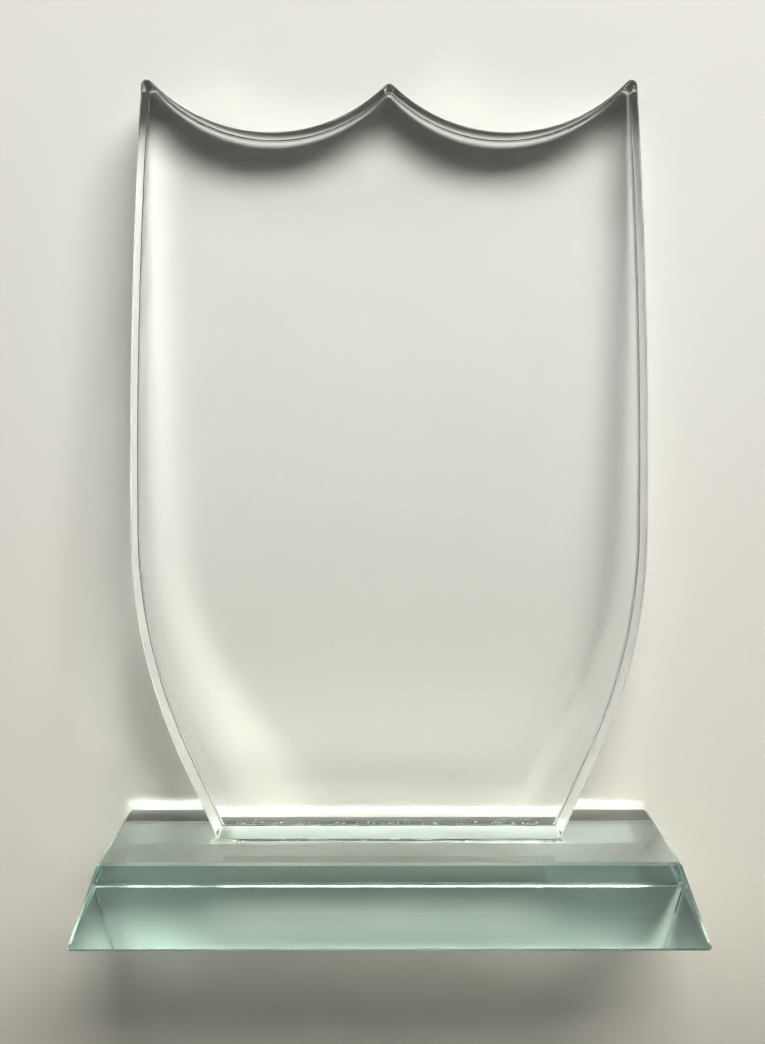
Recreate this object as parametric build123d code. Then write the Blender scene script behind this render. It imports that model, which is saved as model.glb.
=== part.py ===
from build123d import *
import math
import os

os.makedirs("parts", exist_ok=True)

# A thick shield of clear glass, bonded upright on a bevelled glass base with clear
# adhesive. Millimetres. The origin is the middle of the base's underside, +Z is up
# and the display face of the shield looks along -Y.

# Stock and finish of the two pieces of glass
GLASS = 19.0  # three-quarter inch plate
PLATE_ARRIS = 0.35  # flat ground along every sharp edge
BASE_ARRIS = 0.6

# Base block: a low truncated pyramid
BASE_TOP_X = 131.5
BASE_TOP_Y = 45.5
BASE_SPLAY_X = 6.7  # how far each end leans out at the bottom
BASE_SPLAY_Y = 4.0  # how far the front and the back lean out

# Shield plate: heights are measured up from its own foot
FOOT_HALF = 40.5
WAIST_HALF = 60.3  # half of the widest part
WAIST_Z = 72.0
HEM_RADIUS = 130.0  # the side curving in below the widest part
HEM_ANGLE = 24.0  # lean of the straight run down to the foot
SIDE_SWELL = 1450.0  # the long side above it, almost straight
PEAK_Z = 176.3  # the point between the two scallops
SCALLOP_RADIUS = 38.0
SCALLOP_X = 27.2  # sideways offset of each scallop's centre
TIP_ROUND = 1.3  # horns, peak and foot corners are blunted for safe handling
PLATE_Y = 4.3  # the plate stands a little behind the middle of the base

# Adhesive
FILM = 0.15
BEAD = 0.9  # how far the squeezed-out bead spreads around the foot
BEAD_HEIGHT = 0.45
POOL_HEIGHT = 0.35
PUDDLE = (8.4, 7.6)  # spare adhesive that ran out at one front corner of the foot
PUDDLE_AT = (-39.5, -9.6)
LENS = (32.0, 4.6)  # a long low run of it under the other half of the front
LENS_AT = (25.0, -9.6)


def export(shape, name):
    shape.label = name
    export_step(shape, f"parts/{name}.step")


def shield_outline():
    """The right-hand half is drawn from the foot to the peak, then mirrored."""
    hem = math.radians(HEM_ANGLE)
    bend_x = WAIST_HALF - HEM_RADIUS * (1 - math.cos(hem))
    bend_z = WAIST_Z - HEM_RADIUS * math.sin(hem)
    half_x = WAIST_HALF - HEM_RADIUS * (1 - math.cos(hem / 2))
    half_z = WAIST_Z - HEM_RADIUS * math.sin(hem / 2)
    centre_z = PEAK_Z + math.sqrt(SCALLOP_RADIUS**2 - SCALLOP_X**2)

    # The horn tip is where the long side meets the scallop: a few rounds settle it.
    tip_z = PEAK_Z
    for _ in range(20):
        rise = tip_z - WAIST_Z
        tip_x = WAIST_HALF - SIDE_SWELL + math.sqrt(SIDE_SWELL**2 - rise**2)
        reach = tip_x - SCALLOP_X
        tip_z = centre_z - math.sqrt(SCALLOP_RADIUS**2 - reach**2)
    mid_rise = (tip_z - WAIST_Z) / 2
    mid_x = WAIST_HALF - SIDE_SWELL + math.sqrt(SIDE_SWELL**2 - mid_rise**2)
    valley = (SCALLOP_X, centre_z - SCALLOP_RADIUS)

    with BuildSketch(Plane.XZ) as sketch:
        with BuildLine():
            Line((0, 0), (FOOT_HALF, 0))
            Line((FOOT_HALF, 0), (bend_x, bend_z))
            ThreePointArc((bend_x, bend_z), (half_x, half_z), (WAIST_HALF, WAIST_Z))
            ThreePointArc((WAIST_HALF, WAIST_Z), (mid_x, WAIST_Z + mid_rise), (tip_x, tip_z))
            ThreePointArc((tip_x, tip_z), valley, (0, PEAK_Z))
            mirror(about=Plane.YZ)
        make_face()
        heights = sketch.vertices().group_by(Axis.Y)
        fillet(heights[-1] + heights[-2] + heights[0], TIP_ROUND)
    return sketch.sketch


def pool(size, place):
    """A thin oval of adhesive lying on the base."""
    disc = Cylinder(1, POOL_HEIGHT, align=(Align.CENTER, Align.CENTER, Align.MIN))
    return Pos(*place, 0) * scale(disc, by=(size[0] / 2, size[1] / 2, 1))


def ring(width, depth, grow, height):
    """A low slab around the foot, its top edge leaning in like a meniscus."""
    low = Rectangle(width + 2 * grow, depth + 2 * grow)
    low = fillet(low.vertices(), grow)
    high = Rectangle(width + 0.1, depth + 0.1)
    high = fillet(high.vertices(), 0.04)
    return loft([low, Pos(0, 0, height) * high])


# Base block: the four sloping sides come from a loft between two rectangles.
bottom = Rectangle(BASE_TOP_X + 2 * BASE_SPLAY_X, BASE_TOP_Y + 2 * BASE_SPLAY_Y)
top = Pos(0, 0, GLASS) * Rectangle(BASE_TOP_X, BASE_TOP_Y)
base = loft([bottom, top])
base = chamfer(base.edges(), BASE_ARRIS)
export(base, "base_block")

# Shield plate: cut from sheet, then every edge is ground with the same arris.
outline = shield_outline()
slab = extrude(outline, amount=GLASS / 2, both=True)
slab = chamfer(slab.edges().filter_by(Axis.Y, reverse=True), PLATE_ARRIS)
plate = Pos(0, PLATE_Y, GLASS + FILM) * slab
export(plate, "shield_plate")

# Adhesive: one cured piece, a film under the foot with the bead pressed out of it.
foot_x = 2 * FOOT_HALF
film = Box(foot_x, GLASS, FILM, align=(Align.CENTER, Align.CENTER, Align.MIN))
bead = ring(foot_x, GLASS, BEAD, BEAD_HEIGHT)
pools = pool(PUDDLE, PUDDLE_AT) + pool(LENS, LENS_AT)
glue = Pos(0, PLATE_Y, GLASS) * (film + bead + pools)
glue = glue - plate
export(glue, "adhesive_joint")
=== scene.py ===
# %% [markdown]
# # A shield of clear glass on a bevelled glass base
#
# The award is three pieces: a thick shield cut from plate glass, a low base block with
# bevelled sides, and the clear adhesive that bonds the shield's foot to the base.
# Clear glass has no colour of its own to paint. What the eye sees is the room, bent and
# mirrored, so the sheet it lies on and the lamp matter as much as the glass.

import math
import random

import bmesh
import bpy
from mathutils import Matrix, Vector, noise


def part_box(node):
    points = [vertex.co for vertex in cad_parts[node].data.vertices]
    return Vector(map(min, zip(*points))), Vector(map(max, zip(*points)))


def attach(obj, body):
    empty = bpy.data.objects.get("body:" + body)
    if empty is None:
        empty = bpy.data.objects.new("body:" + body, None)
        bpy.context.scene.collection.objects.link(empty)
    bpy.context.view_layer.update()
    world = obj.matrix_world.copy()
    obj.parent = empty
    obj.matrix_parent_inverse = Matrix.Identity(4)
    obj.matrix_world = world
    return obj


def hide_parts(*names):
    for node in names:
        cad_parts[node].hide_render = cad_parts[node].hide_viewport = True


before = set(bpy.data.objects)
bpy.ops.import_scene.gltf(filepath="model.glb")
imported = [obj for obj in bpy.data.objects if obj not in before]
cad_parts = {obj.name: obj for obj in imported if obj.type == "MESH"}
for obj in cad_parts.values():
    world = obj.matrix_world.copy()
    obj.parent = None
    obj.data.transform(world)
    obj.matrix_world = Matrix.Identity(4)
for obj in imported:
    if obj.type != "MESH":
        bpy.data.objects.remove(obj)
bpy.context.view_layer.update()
MM = 0.001

plate_low, plate_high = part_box("shield_plate")
base_low, base_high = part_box("base_block")
print("shield from", plate_low, "to", plate_high)
print("base from", base_low, "to", base_high)

# %% [markdown]
# ## Camera
#
# The award is seen from in front of its display face and a little above the middle, with
# a normal lens. The camera looks down by a few degrees and is not shifted, so upright
# lines converge very slightly towards the base.

# %% Camera
FOCAL_LENGTH = 51.72
SENSOR = 36.0
STANDPOINT = Vector((-2.4, -353.6, 121.3)) * MM
LOOK_DOWN = math.radians(4.37)
TURN = math.radians(-0.14)


def put_in_scene(name, data):
    """Makes an object for this data and links it to the scene."""
    made = bpy.data.objects.new(name, data)
    bpy.context.scene.collection.objects.link(made)
    return made


optics = bpy.data.cameras.new("viewpoint")
optics.sensor_fit = "AUTO"
optics.sensor_width = SENSOR
optics.lens = FOCAL_LENGTH
optics.clip_start = 10 * MM
viewpoint = put_in_scene("viewpoint", optics)
viewpoint.location = STANDPOINT
viewpoint.rotation_euler = (math.radians(90) - LOOK_DOWN, 0, TURN)
bpy.context.scene.camera = viewpoint
print("camera at", tuple(viewpoint.location))

# %% [markdown]
# ## Small tools for materials
#
# Every material here is wired from the same few kinds of node, so each kind gets a short
# function. They take sockets and give back sockets, which keeps a material's recipe
# readable from top to bottom.

# %% Node tools
def new_material(name):
    """An empty node material with its output, ready to be wired."""
    made = bpy.data.materials.new(name)
    made.use_nodes = True
    made.node_tree.nodes.clear()
    return made, made.node_tree, made.node_tree.nodes.new("ShaderNodeOutputMaterial")


def add_noise(tree, scale, detail=2.0, distortion=0.0):
    """Noise that is fixed to the object. Gives its value, about 0.5 on average."""
    place = tree.nodes.new("ShaderNodeTexCoord")
    made = tree.nodes.new("ShaderNodeTexNoise")
    made.inputs["Scale"].default_value = scale
    made.inputs["Detail"].default_value = detail
    made.inputs["Distortion"].default_value = distortion
    tree.links.new(place.outputs["Object"], made.inputs["Vector"])
    return made.outputs["Fac"]


def map_range(tree, source, given, wanted):
    """A smooth step of a value, from one pair of limits to another."""
    step = tree.nodes.new("ShaderNodeMapRange")
    step.interpolation_type = "SMOOTHSTEP"
    step.inputs["From Min"].default_value = given[0]
    step.inputs["From Max"].default_value = given[1]
    step.inputs["To Min"].default_value = wanted[0]
    step.inputs["To Max"].default_value = wanted[1]
    tree.links.new(source, step.inputs["Value"])
    return step.outputs["Result"]


def scalar(tree, operation, first, second):
    """A Math node on two sockets or numbers."""
    node = tree.nodes.new("ShaderNodeMath")
    node.operation = operation
    for slot, value in zip(node.inputs, (first, second)):
        if isinstance(value, (int, float)):
            slot.default_value = value
        else:
            tree.links.new(value, slot)
    return node.outputs["Value"]


def mix_colours(tree, factor, first, second):
    """From the first colour to the second. A colour is a socket or four numbers."""
    mix = tree.nodes.new("ShaderNodeMix")
    mix.data_type = "RGBA"
    tree.links.new(factor, mix.inputs["Factor"])
    for slot, colour in ((mix.inputs["A"], first), (mix.inputs["B"], second)):
        if isinstance(colour, tuple):
            slot.default_value = colour
        else:
            tree.links.new(colour, slot)
    return mix.outputs["Result"]


def add_bump(tree, height, distance, shader):
    """Lets a height change the way a shader's surface faces."""
    bump = tree.nodes.new("ShaderNodeBump")
    bump.inputs["Distance"].default_value = distance
    tree.links.new(height, bump.inputs["Height"])
    tree.links.new(bump.outputs["Normal"], shader.inputs["Normal"])


print("node tools ready")

# %% [markdown]
# ## Pale sheet
#
# The award lies on its back on a pale sheet. It touches the sheet in two places: the
# rear edge of the base and the rear of the horn tips. A plane through those two lines
# is the sheet, and the shadows inside the glass depend on getting it right. It shows
# only its front, so the award can be looked at from behind as well.

# %% Sheet
SHEET_SIZE = 900 * MM
SHEET_ROWS = 120
CLEARANCE = 0.15 * MM
REAR_EDGE_HEIGHT = 0.8 * MM
ROLL_START = -5 * MM
ROLL_RADIUS = 260 * MM
ROLL_LIMIT = math.radians(60)

touch_low = Vector((0, base_high.y + CLEARANCE, REAR_EDGE_HEIGHT))
touch_high = Vector((0, plate_high.y + CLEARANCE, plate_high.z))
lean = math.atan2(touch_low.y - touch_high.y, touch_high.z - touch_low.z)


def sheet_mesh():
    """A flat grid stood up behind the award, its lower part rolling gently away."""
    shape = bmesh.new()
    bmesh.ops.create_grid(shape, x_segments=2, y_segments=SHEET_ROWS, size=SHEET_SIZE)
    for point in shape.verts:
        drop = ROLL_START - point.co.y
        if drop > 0:
            turn = min(drop / ROLL_RADIUS, ROLL_LIMIT)
            straight = drop - turn * ROLL_RADIUS
            along = ROLL_RADIUS * math.sin(turn) + straight * math.cos(turn)
            away = ROLL_RADIUS * (1 - math.cos(turn)) + straight * math.sin(turn)
            point.co.y = ROLL_START - along
            point.co.z = -away
    upright = Matrix.Rotation(math.radians(90) + lean, 3, "X")
    bmesh.ops.rotate(shape, verts=shape.verts, matrix=upright)
    bmesh.ops.translate(shape, verts=shape.verts, vec=touch_low)
    mesh = bpy.data.meshes.new("pale_sheet")
    shape.to_mesh(mesh)
    shape.free()
    mesh.shade_smooth()
    return mesh


sheet = put_in_scene("pale_sheet", sheet_mesh())
print("sheet leans", round(math.degrees(lean), 2), "degrees")

# %% [markdown]
# The sheet is matt card: warm white, with a faint mottle so that it doesn't look like a
# computed gradient. Towards its lower edge, below the base, it is painted warmer and a
# little darker: painted shade, for the warm shadow that falls there. Backfacing is wired
# to a Transparent shader, which is how a surface is made to show from one side only.

# %% Sheet finish
SHEET_LIGHT = (0.80, 0.79, 0.74, 1)
SHEET_DARK = (0.785, 0.775, 0.722, 1)
# painted shade: the warmer, darker tint of the sheet's lower part, where the base's shadow
# falls
SHEET_SHADE_TINT = (0.80, 0.765, 0.665, 1)
SHADE_TINT_HEIGHTS = (-40 * MM, 160 * MM)
MOTTLE_SCALE = 14
MOTTLE_DETAIL = 3
CARD_ROUGHNESS = 0.9
CARD_SPECULAR = 0.2


def card_finish():
    card, tree, output = new_material("matt_card")
    mottle = add_noise(tree, MOTTLE_SCALE, MOTTLE_DETAIL)
    card_tone = mix_colours(tree, mottle, SHEET_DARK, SHEET_LIGHT)
    place = tree.nodes.new("ShaderNodeTexCoord")
    parts = tree.nodes.new("ShaderNodeSeparateXYZ")
    tree.links.new(place.outputs["Object"], parts.inputs["Vector"])
    # painted shade, growing towards the bottom of the sheet
    painted_shade = map_range(tree, parts.outputs["Z"], SHADE_TINT_HEIGHTS, (1, 0))
    colour = mix_colours(tree, painted_shade, card_tone, SHEET_SHADE_TINT)
    front = tree.nodes.new("ShaderNodeBsdfPrincipled")
    front.inputs["Roughness"].default_value = CARD_ROUGHNESS
    front.inputs["Specular IOR Level"].default_value = CARD_SPECULAR
    tree.links.new(colour, front.inputs["Base Color"])
    behind = tree.nodes.new("ShaderNodeBsdfTransparent")
    side = tree.nodes.new("ShaderNodeNewGeometry")
    choose = tree.nodes.new("ShaderNodeMixShader")
    tree.links.new(side.outputs["Backfacing"], choose.inputs["Fac"])
    tree.links.new(front.outputs["BSDF"], choose.inputs[1])
    tree.links.new(behind.outputs["BSDF"], choose.inputs[2])
    tree.links.new(choose.outputs["Shader"], output.inputs["Surface"])
    return card


sheet.data.materials.append(card_finish())
print("sheet finish", sheet.data.materials[0].name)

# %% [markdown]
# ## Light
#
# One broad, soft lamp stands above and to the right, in front of the award. Its angle is
# what makes the glass read: light that enters the top edge is trapped in the plate, and
# leaves a dark band behind the scallops.

# %% Lamp
LAMP_PLACE = Vector((0.28, -0.92, 0.92))
LAMP_AIM = Vector((0.01, 0.02, 0.13))
LAMP_WIDE = 0.90
LAMP_TALL = 0.56
LAMP_WATTS = 21.0
LAMP_COLOUR = (1.0, 1.0, 0.985)

tube = bpy.data.lights.new("soft_lamp", "AREA")
tube.shape = "RECTANGLE"
tube.size = LAMP_WIDE
tube.size_y = LAMP_TALL
tube.energy = LAMP_WATTS
tube.color = LAMP_COLOUR
lamp = put_in_scene("soft_lamp", tube)
lamp.location = LAMP_PLACE
lamp.rotation_euler = (LAMP_AIM - LAMP_PLACE).to_track_quat("-Z", "Y").to_euler()
print("lamp of", LAMP_WATTS, "W at", tuple(lamp.location))

# %% [markdown]
# The room is dim and warm, and a little lighter overhead, which is what the dark lines
# in the edges of the glass mirror. In front of the award, about level with it, is a
# paler patch, and that shows as a faint sheen on the shield's face. No real room does
# what it does: it is hidden from matt surfaces, so it adds a reflection and no light.
#
# A backdrop looked at directly, or straight through the two faces of a piece from
# behind, is plain and pale, so that the award can be judged from every side.

# %% Room
ROOM_COLOUR = (1.0, 0.92, 0.80, 1)
ROOM_LEVELS = (0.02, 0.12)
ROOM_HEIGHTS = (-0.4, 0.9)
SHEEN_COLOUR = (0.88, 0.95, 1.0, 1)
SHEEN_LEVELS = (0.10, 0.68)
SHEEN_RISE = (-0.15, 0.05)
SHEEN_FALL = (0.10, 0.145)
SHEEN_FRONT = (-0.95, -0.85)
BACKDROP = (0.62, 0.61, 0.59, 1)
BACKDROP_SIDE = 0.25
CROSSINGS = 2
WORLD_BOUNCE = 1
BETWEEN = 0.5

room = bpy.data.worlds.new("dim_room")
bpy.context.scene.world = room
room.use_nodes = True
wires = room.node_tree
direction = wires.nodes.new("ShaderNodeTexCoord")
parts = wires.nodes.new("ShaderNodeSeparateXYZ")
ray = wires.nodes.new("ShaderNodeLightPath")
wires.links.new(direction.outputs["Generated"], parts.inputs["Vector"])
upward = parts.outputs["Z"]
backward = parts.outputs["Y"]


def glow_of(colour, strength=None):
    """A Background shader of one colour, its strength from a socket if one is given."""
    made = wires.nodes.new("ShaderNodeBackground")
    made.inputs["Color"].default_value = colour
    if strength is not None:
        wires.links.new(strength, made.inputs["Strength"])
    return made.outputs["Background"]


rise = map_range(wires, upward, SHEEN_RISE, SHEEN_LEVELS)
fall = map_range(wires, upward, SHEEN_FALL, (1, 0))
in_front = map_range(wires, backward, SHEEN_FRONT, (1, 0))
level = scalar(wires, "MULTIPLY", scalar(wires, "MULTIPLY", rise, fall), in_front)
not_lighting = scalar(wires, "SUBTRACT", 1.0, ray.outputs["Is Diffuse Ray"])
sheen = glow_of(SHEEN_COLOUR, scalar(wires, "MULTIPLY", level, not_lighting))
dim = glow_of(ROOM_COLOUR, map_range(wires, upward, ROOM_HEIGHTS, ROOM_LEVELS))
seen_in_glass = wires.nodes.new("ShaderNodeAddShader")
wires.links.new(dim, seen_in_glass.inputs[0])
wires.links.new(sheen, seen_in_glass.inputs[1])
print("room from", ROOM_LEVELS[0], "to", ROOM_LEVELS[1])

# %% [markdown]
# A ray that has crossed two surfaces and nothing else has gone straight through a piece.
# The world counts itself as one more bounce, so its depth is compared with one more.

# %% Backdrop
depth = ray.outputs["Ray Depth"]
crossed = ray.outputs["Transmission Depth"]
few = scalar(wires, "LESS_THAN", depth, CROSSINGS + WORLD_BOUNCE + BETWEEN)
enough = scalar(wires, "GREATER_THAN", crossed, CROSSINGS - BETWEEN)
from_behind = scalar(wires, "LESS_THAN", backward, BACKDROP_SIDE)
through = scalar(wires, "MULTIPLY", scalar(wires, "MULTIPLY", few, enough), from_behind)
plainly = scalar(wires, "MAXIMUM", ray.outputs["Is Camera Ray"], through)
looked_at = wires.nodes.new("ShaderNodeMixShader")
wires.links.new(plainly, looked_at.inputs["Fac"])
wires.links.new(seen_in_glass.outputs["Shader"], looked_at.inputs[1])
wires.links.new(glow_of(BACKDROP), looked_at.inputs[2])
wires.links.new(looked_at.outputs["Shader"], wires.nodes["World Output"].inputs["Surface"])
print("backdrop", BACKDROP)

# %% [markdown]
# Light has to reach the sheet by passing through the glass, and some of it is trapped
# and turned many times before it leaves. Cycles can follow those paths by itself when it
# isn't told to blur or clip them, or to stop early.

# %% Light paths
scene = bpy.context.scene
scene.view_settings.view_transform = "Standard"
scene.cycles.blur_glossy = 0.0
scene.cycles.sample_clamp_indirect = 0.0
scene.cycles.max_bounces = 40
scene.cycles.transmission_bounces = 40
scene.cycles.glossy_bounces = 16
print("up to", scene.cycles.max_bounces, "bounces")

# %% [markdown]
# ## What cutting and polishing leave on glass
#
# The two big faces of plate glass are as flat as when they were cast. The sides were
# ground to the outline and polished again, and keep a slight waviness from the wheel.
# The narrow arris along each edge is rougher, and the underside of the base is taken to
# be ground. One group tells these apart by how squarely a face looks along the piece's
# flat axis, adds smears as if from handling, and is used by both pieces of glass.

# %% Worked glass group
FLAT_FACE = (0.95, 0.99)
SIDE_FACE = (0.40, 0.50)
FACES_DOWN = -0.99
SMEAR_SCALE = 45
SMEAR_DETAIL = 6
SMEAR_WARP = 1.6
SMEAR_PATCHES = (0.56, 0.74)
WORK_VALUES = ("Smears", "Arris Roughness", "Ripple Scale", "Underside Roughness")


def worked_glass_sockets(group):
    """The group's named inputs and outputs."""
    sockets = group.interface
    sockets.new_socket("Flat Axis", in_out="INPUT", socket_type="NodeSocketVector")
    for name in WORK_VALUES:
        sockets.new_socket(name, in_out="INPUT", socket_type="NodeSocketFloat")
    for name in ("Roughness", "Height"):
        sockets.new_socket(name, in_out="OUTPUT", socket_type="NodeSocketFloat")


def worked_glass_group():
    group = bpy.data.node_groups.new("worked_glass", "ShaderNodeTree")
    worked_glass_sockets(group)
    given = group.nodes.new("NodeGroupInput").outputs
    result = group.nodes.new("NodeGroupOutput").inputs
    facing = group.nodes.new("ShaderNodeNewGeometry")

    squareness = group.nodes.new("ShaderNodeVectorMath")
    squareness.operation = "DOT_PRODUCT"
    group.links.new(facing.outputs["True Normal"], squareness.inputs[0])
    group.links.new(given["Flat Axis"], squareness.inputs[1])
    square = scalar(group, "ABSOLUTE", squareness.outputs["Value"], 0)
    not_flat = map_range(group, square, FLAT_FACE, (1, 0))
    not_side = map_range(group, square, SIDE_FACE, (0, 1))
    arris = scalar(group, "MULTIPLY", not_flat, not_side)

    normal = group.nodes.new("ShaderNodeSeparateXYZ")
    group.links.new(facing.outputs["True Normal"], normal.inputs["Vector"])
    underside = scalar(group, "LESS_THAN", normal.outputs["Z"], FACES_DOWN)

    smear = add_noise(group, SMEAR_SCALE, SMEAR_DETAIL, SMEAR_WARP)
    patches = map_range(group, smear, SMEAR_PATCHES, (0, 1))
    smeared = scalar(group, "MULTIPLY", patches, given["Smears"])
    rough_arris = scalar(group, "MULTIPLY", arris, given["Arris Roughness"])
    rough_under = scalar(group, "MULTIPLY", underside, given["Underside Roughness"])
    worn = scalar(group, "ADD", smeared, rough_arris)
    group.links.new(scalar(group, "ADD", worn, rough_under), result["Roughness"])

    place = group.nodes.new("ShaderNodeTexCoord")
    ripple = group.nodes.new("ShaderNodeTexNoise")
    group.links.new(place.outputs["Object"], ripple.inputs["Vector"])
    group.links.new(given["Ripple Scale"], ripple.inputs["Scale"])
    wave = scalar(group, "MULTIPLY", ripple.outputs["Fac"], not_flat)
    group.links.new(wave, result["Height"])
    return group


worked_glass = worked_glass_group()
print("group", worked_glass.name, "with", len(worked_glass.nodes), "nodes")

# %% [markdown]
# ## Clear glass
#
# Soda-lime plate is clear across its thickness and green along it, because iron takes
# out red light little by little. That isn't a surface colour, so it is made with Volume
# Absorption: a long path through the base comes out teal and a short one through the
# shield stays clear.
#
# Where glass is bonded to glass there is no air between, so light goes straight across.
# Faces marked with the attribute "bonded" show a second shader that doesn't bend light.
# Both shaders are in one material, because Cycles has to leave the absorbing inside by
# the same material that it entered by.

# %% Bonded and dry faces
BOND_MARK = "bonded"
NO_BEND = 1.0
WATER_WHITE = (1, 1, 1, 1)


def clear_shader(tree, bend, tint=WATER_WHITE):
    body = tree.nodes.new("ShaderNodeBsdfPrincipled")
    body.inputs["Base Color"].default_value = tint
    body.inputs["Roughness"].default_value = 0.0
    body.inputs["IOR"].default_value = bend
    body.inputs["Transmission Weight"].default_value = 1.0
    return body


def dry_or_bonded(tree, output, dry, tint=WATER_WHITE):
    """Shows the dry shader, except on the marked faces."""
    bond = clear_shader(tree, NO_BEND, tint)
    mark = tree.nodes.new("ShaderNodeAttribute")
    mark.attribute_name = BOND_MARK
    choose = tree.nodes.new("ShaderNodeMixShader")
    tree.links.new(mark.outputs["Fac"], choose.inputs["Fac"])
    tree.links.new(dry.outputs["BSDF"], choose.inputs[1])
    tree.links.new(bond.outputs["BSDF"], choose.inputs[2])
    tree.links.new(choose.outputs["Shader"], output.inputs["Surface"])


print("marked faces read the attribute", BOND_MARK)

# %% [markdown]
# The two pieces are probably cut from the same stock, yet the base is given a much
# stronger tint than the shield, more smears, and a ground underside. These values were
# fitted, each piece on its own, and they aren't measured properties of the glass.

# %% Glass materials
GLASS_BEND = 1.52
RIPPLE_HEIGHT = 0.004 * MM
BASE_TINT = (0.30, 0.70, 0.64, 1)
BASE_TINT_DEPTH = 8.0
BASE_WORK = {
    "Flat Axis": (0, 0, 1),
    "Smears": 0.06,
    "Arris Roughness": 0.30,
    "Ripple Scale": 260,
    "Underside Roughness": 0.45,
}
PLATE_TINT = (0.20, 0.70, 0.60, 1)
PLATE_TINT_DEPTH = 1.3
PLATE_WORK = {
    "Flat Axis": (0, 1, 0),
    "Smears": 0.02,
    "Arris Roughness": 0.30,
    "Ripple Scale": 260,
    "Underside Roughness": 0.0,
}


def clear_glass(name, tint, depth, work):
    glass, tree, output = new_material(name)
    body = clear_shader(tree, GLASS_BEND)
    worked = tree.nodes.new("ShaderNodeGroup")
    worked.node_tree = worked_glass
    for socket, value in work.items():
        worked.inputs[socket].default_value = value
    tree.links.new(worked.outputs["Roughness"], body.inputs["Roughness"])
    add_bump(tree, worked.outputs["Height"], RIPPLE_HEIGHT, body)
    dry_or_bonded(tree, output, body)
    inside = tree.nodes.new("ShaderNodeVolumeAbsorption")
    inside.inputs["Color"].default_value = tint
    inside.inputs["Density"].default_value = depth
    tree.links.new(inside.outputs["Volume"], output.inputs["Volume"])
    return glass


base_glass = clear_glass("base_glass", BASE_TINT, BASE_TINT_DEPTH, BASE_WORK)
plate_glass = clear_glass("plate_glass", PLATE_TINT, PLATE_TINT_DEPTH, PLATE_WORK)
print("glass", base_glass.name, plate_glass.name)

# %% [markdown]
# ## Shield plate
#
# The CAD shape is right, but the wetted part of the foot has to be told apart. A copy of
# the CAD mesh is merged, a level cut is made through the arris of the foot, as high as
# the adhesive climbs, and every face below the cut is marked as bonded.
#
# The copy also drops the normals that came with the file. Glass shows every wrong
# normal as a kink, so edges are marked sharp by their angle instead.

# %% Shield plate
CLIMB = 0.30 * MM
SMOOTH_ANGLE = math.radians(20)
MERGE = 0.001 * MM


def merged_copy(node):
    """The CAD node's mesh as one connected surface."""
    shape = bmesh.new()
    shape.from_mesh(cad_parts[node].data)
    shape.faces.layers.float.new(BOND_MARK)
    bmesh.ops.remove_doubles(shape, verts=shape.verts, dist=MERGE)
    return shape


def faces_in(items):
    return [item for item in items if isinstance(item, bmesh.types.BMFace)]


def points_in(items):
    return [item for item in items if isinstance(item, bmesh.types.BMVert)]


def open_rim(shape):
    """The edges that have a face on one side only."""
    return [edge for edge in shape.edges if edge.is_boundary]


def finish_piece(name, shape, bonded, finish, node):
    """Turns a bmesh into a piece that stands for a CAD node and rides the body."""
    mark = shape.faces.layers.float[BOND_MARK]
    for face in bonded:
        face[mark] = 1.0
    for face in shape.faces:
        face.smooth = True
    mesh = bpy.data.meshes.new(name)
    shape.to_mesh(mesh)
    shape.free()
    if "custom_normal" in mesh.attributes:
        mesh.attributes.remove(mesh.attributes["custom_normal"])
    mesh.set_sharp_from_angle(angle=SMOOTH_ANGLE)
    mesh.materials.append(finish)
    piece = put_in_scene(name, mesh)
    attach(piece, "root")
    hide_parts(node)
    print(name, len(mesh.polygons), "faces")
    return piece


wet_line = plate_low.z + CLIMB
slab = merged_copy("shield_plate")
slab_parts = slab.verts[:] + slab.edges[:] + slab.faces[:]
bmesh.ops.bisect_plane(slab, geom=slab_parts, plane_co=(0, 0, wet_line), plane_no=(0, 0, 1))
foot = slab.copy()
wetted = [face for face in slab.faces if face.calc_center_median().z < wet_line]
finish_piece("shield_plate_glass", slab, wetted, plate_glass, "shield_plate")

# %% [markdown]
# ## Adhesive
#
# Clear adhesive was pressed out when the shield was set down. It wets the arris of the
# foot, sags in a hollow curve onto the base, and spreads unevenly: a puddle at one front
# corner, and a long low lens along the other half of the front.
#
# Its top has to fit the foot exactly, so it starts as a copy of the foot's wetted faces,
# turned over and loosened by a hair so that no two faces share a place. The rim is
# divided finely, because the next steps move each point of it on its own.

# %% Adhesive: its top, taken from the foot
AIR_GAP = 0.02 * MM
RIM_STEP = 0.5 * MM

foot_middle = Vector((0, (plate_low.y + plate_high.y) / 2, wet_line))
dry = [face for face in foot.faces if face.calc_center_median().z > wet_line]
bmesh.ops.delete(foot, geom=dry, context="FACES")
bmesh.ops.reverse_faces(foot, faces=foot.faces)
reach_x = max(abs(point.co.x) for point in foot.verts)
reach_y = plate_high.y - foot_middle.y
loosen = Matrix.Diagonal((1 + AIR_GAP / reach_x, 1 + AIR_GAP / reach_y, 1))
bmesh.ops.transform(
    foot, verts=foot.verts, matrix=loosen.to_4x4(), space=Matrix.Translation(-foot_middle)
)
bmesh.ops.translate(foot, verts=foot.verts, vec=(0, 0, -AIR_GAP))
for edge in open_rim(foot):
    steps = int(edge.calc_length() / RIM_STEP)
    if steps:
        bmesh.ops.subdivide_edges(foot, edges=[edge], cuts=steps)
bmesh.ops.triangulate(foot, faces=foot.faces)
print("rim of", len(open_rim(foot)), "edges")

# %% [markdown]
# Liquid that is pressed from a gap goes straight out from it, further where the gap held
# more. So each point on the rim gets a way out from the foot, and a distance that
# wanders on two scales. The puddle and the lens are added to that distance.

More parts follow.
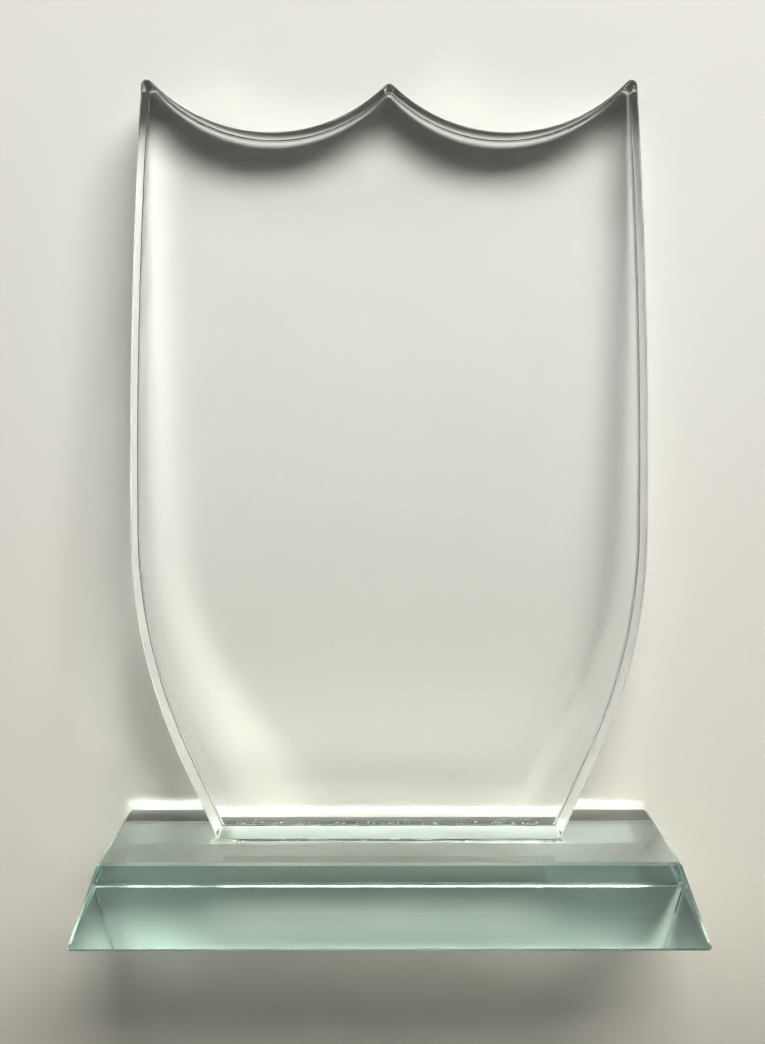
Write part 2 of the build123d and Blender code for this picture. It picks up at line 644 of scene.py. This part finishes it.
# %% Adhesive: how far it spread
CORE = Vector((37.5, 7.0, 0)) * MM
SPREAD = 0.75 * MM
LEAST_SPREAD = 0.3 * MM
WANDER = 0.9
SLOW_WANDER = 160
FAST_WANDER = 420
FAST_SHARE = 0.6
PUDDLE = Vector((-39.5, -6.0, 0)) * MM
PUDDLE_REACH = 3.6 * MM
PUDDLE_SIZE = 4.2 * MM
LENS_START = 10 * MM
LENS_EASE = 12 * MM
LENS_REACH = 1.7 * MM
LENS_WANDER = 90
LENS_UNEVEN = 0.5


def home_and_outward(spot):
    """The point's place on the level, and the way out from the foot."""
    level = Vector((spot.x, spot.y, 0))
    nearest = Vector((
        max(-CORE.x, min(CORE.x, level.x)),
        max(foot_middle.y - CORE.y, min(foot_middle.y + CORE.y, level.y)),
        0,
    ))
    return level, (level - nearest).normalized()


def spread_at(home, outward):
    """How far the adhesive went from this place on the rim."""
    wander = noise.noise(home * SLOW_WANDER) + FAST_SHARE * noise.noise(home * FAST_WANDER)
    reach = SPREAD * (1 + WANDER * wander)
    away = (home - PUDDLE).length / PUDDLE_SIZE
    reach += PUDDLE_REACH * math.exp(-(away**4))
    front = max(0, -outward.y)
    ease = max(0, min(1, (home.x - LENS_START) / LENS_EASE))
    uneven = 1 + LENS_UNEVEN * noise.noise(home * LENS_WANDER)
    reach += LENS_REACH * front * ease * uneven
    return max(reach, LEAST_SPREAD)


print("spread at the puddle", round(spread_at(PUDDLE, Vector((0, -1, 0))) / MM, 2), "mm")

# %% [markdown]
# The rim of the top is extruded outwards ring by ring. Each ring sits at a share of the
# spread and at the height that a sagging meniscus has there. The last ring lies on the
# base: its outline is kept, because the base needs the same one, and a flat underside
# closes the piece.

# %% Adhesive: the bead
RINGS = (0.05, 0.12, 0.22, 0.36, 0.52, 0.70, 0.86, 0.96, 1.0)
SAG = 2.6
floor_level = base_high.z + AIR_GAP
start_level = wet_line - AIR_GAP

homes = {}
for edge in open_rim(foot):
    for point in edge.verts:
        homes[point] = home_and_outward(point.co)

top_faces = set(foot.faces)
for share in RINGS:
    rim = open_rim(foot)
    places = {}
    for edge in rim:
        for point in edge.verts:
            places[tuple(point.co)] = homes[point]
    grown = bmesh.ops.extrude_edge_only(foot, edges=rim)["geom"]
    homes = {}
    for point in points_in(grown):
        home, outward = places[tuple(point.co)]
        homes[point] = (home, outward)
        thickness = (start_level - floor_level) * (1 - share) ** SAG
        flat = home + outward * spread_at(home, outward) * share
        point.co = Vector((flat.x, flat.y, floor_level + thickness))

rim = open_rim(foot)
outline = [tuple(point.co.copy() for point in edge.verts) for edge in rim]
under = bmesh.ops.triangle_fill(foot, edges=rim, use_beauty=True, use_dissolve=False)
wetted = top_faces.union(faces_in(under["geom"]))
bmesh.ops.recalc_face_normals(foot, faces=foot.faces)
print("outline of", len(outline), "edges")

# %% [markdown]
# The cured adhesive is a clear resin, nearly as bending as glass, with a faint ripple
# where it flowed. Its wetted faces get the same straight-through finish as the glass,
# but take some of the light. How much was chosen to keep the joint from glowing.

# %% Adhesive finish
RESIN_BEND = 1.49
RESIN_LOSS = (0.85, 0.80, 0.78, 1)
FLOW_SCALE = 500
FLOW_HEIGHT = 0.02 * MM
CLOUDS = (0.55, 0.8)
CLOUD_ROUGHNESS = 0.12


def cured_adhesive():
    resin, tree, output = new_material("clear_adhesive")
    body = clear_shader(tree, RESIN_BEND)
    flow = add_noise(tree, FLOW_SCALE)
    add_bump(tree, flow, FLOW_HEIGHT, body)
    cloudy = map_range(tree, flow, CLOUDS, (0, CLOUD_ROUGHNESS))
    tree.links.new(cloudy, body.inputs["Roughness"])
    dry_or_bonded(tree, output, body, RESIN_LOSS)
    return resin


finish_piece("adhesive_bead", foot, wetted, cured_adhesive(), "adhesive_joint")

# %% [markdown]
# Pressing the shield down traps air, and the bubbles are put along the front of the
# foot. Small cured drops are put on the base behind it. Both are pale, and most are
# well under a millimetre, so they are one mesh of small flattened balls and not
# textures. Their number is a guess; size and place come from one seeded generator.

# %% Bubbles and drops
BUBBLES = 34
BUBBLE_RUN = (-0.72, 0.10)
BUBBLE_BAND = 0.9
BUBBLE_HALF = (0.18, 0.62)
BUBBLE_DEEP = 0.7
BUBBLE_THICK = 0.055 * MM
DROPS = 90
DROP_HALF = (0.10, 0.30)
DROP_TALL = 0.6
DROP_ZONE = 2.6 * MM
film_middle = (base_high.z + plate_low.z) / 2
half_foot = CORE.x
chance = random.Random(7)


def add_speck(shape, spot, half):
    """One small flattened ball."""
    size = Matrix.Diagonal((half.x, half.y, half.z, 1))
    place = Matrix.Translation(spot) @ size
    bmesh.ops.create_icosphere(shape, subdivisions=2, radius=1, matrix=place)


specks = bmesh.new()
specks.faces.layers.float.new(BOND_MARK)
for _ in range(BUBBLES):
    wide = chance.uniform(*BUBBLE_HALF) * MM
    half = Vector((wide, wide * BUBBLE_DEEP, BUBBLE_THICK))
    across = chance.uniform(*BUBBLE_RUN) * half_foot
    inward = chance.uniform(0.0, BUBBLE_BAND) * MM
    add_speck(specks, Vector((across, plate_low.y + inward, film_middle)), half)
for _ in range(DROPS):
    wide = chance.uniform(*DROP_HALF) * MM
    half = Vector((wide, wide, wide * DROP_TALL))
    across = chance.uniform(-1, 1) * half_foot
    back = plate_high.y + SPREAD + chance.random() * DROP_ZONE
    add_speck(specks, Vector((across, back, base_high.z + half.z)), half)
print(BUBBLES, "bubbles and", DROPS, "drops")

# %% [markdown]
# A bubble mirrors nearly all the light that meets it. That mirroring is painted in as a
# pale colour: a painted reflection. A thin drop cures with a dull skin, which is pale of
# its own, and it carries the same painted glint. So both read as pale and half clear
# rather than as glass.

# %% Pale finish: dull skin and painted glint
GRAIN_SCALE = 900
# painted reflection: the pale colour stands in for the glint of bubbles and drops; on the
# drops it is also their dull skin
SKIN_AND_GLINT_DARK = (0.72, 0.75, 0.72, 1)
SKIN_AND_GLINT_LIGHT = (0.95, 0.96, 0.94, 1)
CLOUDY_CLEARNESS = 0.35
CLOUDY_ROUGHNESS = 0.3


def skin_and_glint_finish():
    cloudy, tree, output = new_material("dull_skin_and_painted_glint")
    grain = add_noise(tree, GRAIN_SCALE)
    body = clear_shader(tree, RESIN_BEND)
    body.inputs["Transmission Weight"].default_value = CLOUDY_CLEARNESS
    body.inputs["Roughness"].default_value = CLOUDY_ROUGHNESS
    shade = mix_colours(tree, grain, SKIN_AND_GLINT_DARK, SKIN_AND_GLINT_LIGHT)
    tree.links.new(shade, body.inputs["Base Color"])
    tree.links.new(body.outputs["BSDF"], output.inputs["Surface"])
    return cloudy


finish_piece("adhesive_specks", specks, [], skin_and_glint_finish(), "adhesive_joint")

# %% [markdown]
# ## Base block
#
# The base keeps the CAD shape too. Its flat top is taken off and filled again in two
# parts, along the adhesive's outline: dry glass outside, bonded glass inside.

# %% Base block
LEVEL = 0.01 * MM

block = merged_copy("base_block")
flat_top = []
for face in block.faces:
    if abs(face.calc_center_median().z - base_high.z) < LEVEL:
        flat_top.append(face)
bmesh.ops.delete(block, geom=flat_top, context="FACES")
rim = open_rim(block)

outline_points = {}
outline_edges = []
for ends in outline:
    pair = []
    for spot in ends:
        key = (round(spot.x / LEVEL, 1), round(spot.y / LEVEL, 1))
        if key not in outline_points:
            outline_points[key] = block.verts.new((spot.x, spot.y, base_high.z))
        pair.append(outline_points[key])
    outline_edges.append(block.edges.new(pair))

around = rim + outline_edges
dry_top = bmesh.ops.triangle_fill(block, edges=around, use_dissolve=False)
wet_top = bmesh.ops.triangle_fill(block, edges=outline_edges, use_dissolve=False)
wetted = faces_in(wet_top["geom"])
bmesh.ops.recalc_face_normals(block, faces=block.faces)
print("base top in", len(faces_in(dry_top["geom"])), "dry and", len(wetted), "wet faces")
print("open edges:", len([edge for edge in block.edges if not edge.is_manifold]))
finish_piece("base_block_glass", block, wetted, base_glass, "base_block")
